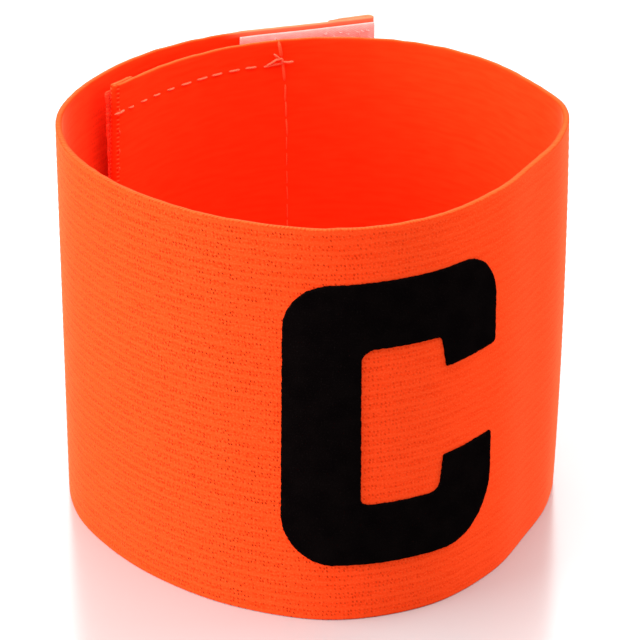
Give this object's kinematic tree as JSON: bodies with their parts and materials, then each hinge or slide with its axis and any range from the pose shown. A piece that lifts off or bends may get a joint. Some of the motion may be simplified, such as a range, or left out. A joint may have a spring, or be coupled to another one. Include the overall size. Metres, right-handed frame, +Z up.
{
  "type": "captain armband",
  "caption": "Orange ribbed elastic captain armband, closed into a loop by hook-and-loop tape, with a black block letter C.",
  "frame": {"origin": "middle of the base of the whole armband as it stands on its lower edge", "axes": "+Z up along the loop's axis, the letter faces -Y, the closure and its free end are at +Y"},
  "size_m": [0.0888, 0.1054, 0.0712],
  "materials": {
    "elastic": "matte knitted elastic in fluorescent orange, with fine lengthwise ribs",
    "hook_tape": "pale pink, slightly translucent woven nylon with fine hooks",
    "loop_tape": "matte salmon nylon pile of fine loops",
    "flock": "matte black flock"
  },
  "bodies": {
    "root": {"elastic_band": "elastic", "hook_tape": "hook_tape", "loop_tape": "loop_tape", "letter_c": "flock"}
  },
  "joints": []
}
